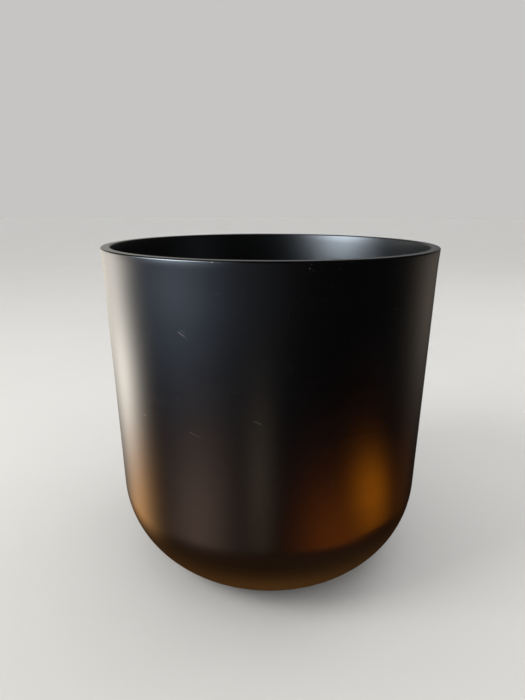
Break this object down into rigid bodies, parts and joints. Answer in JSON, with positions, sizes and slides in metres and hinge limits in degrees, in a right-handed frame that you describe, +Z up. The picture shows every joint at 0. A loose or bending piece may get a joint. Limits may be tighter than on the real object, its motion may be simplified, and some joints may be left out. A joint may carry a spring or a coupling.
{
  "type": "round planter pot",
  "caption": "Near-cylindrical moulded planter with a large rounded base, flat rim, central drain hole with a push-in rubber plug, and non-slip pads under the foot ring.",
  "frame": {"origin": "on the floor plane, under the centre of the pot", "axes": "+Z up along the pot's axis of revolution; +X through the middle of one base pad; the pot is otherwise round"},
  "size_m": [0.3498, 0.3498, 0.35],
  "materials": {
    "pot_plastic": "satin black, faintly brushed round the wall",
    "plug_rubber": "matt black moulded rubber",
    "pad_rubber": "matt dark grey non-slip rubber"
  },
  "bodies": {
    "pot": {"pot_shell": "pot_plastic", "foot_pad_1": "pad_rubber", "foot_pad_2": "pad_rubber", "foot_pad_3": "pad_rubber", "foot_pad_4": "pad_rubber", "foot_pad_5": "pad_rubber", "foot_pad_6": "pad_rubber"},
    "plug": {"drain_plug": "plug_rubber"}
  },
  "joints": [
    {"name": "plug_pull", "type": "slide", "parent": "pot", "child": "plug", "axis": [0, 0, 1], "range_m": [0, 0.36]}
  ]
}
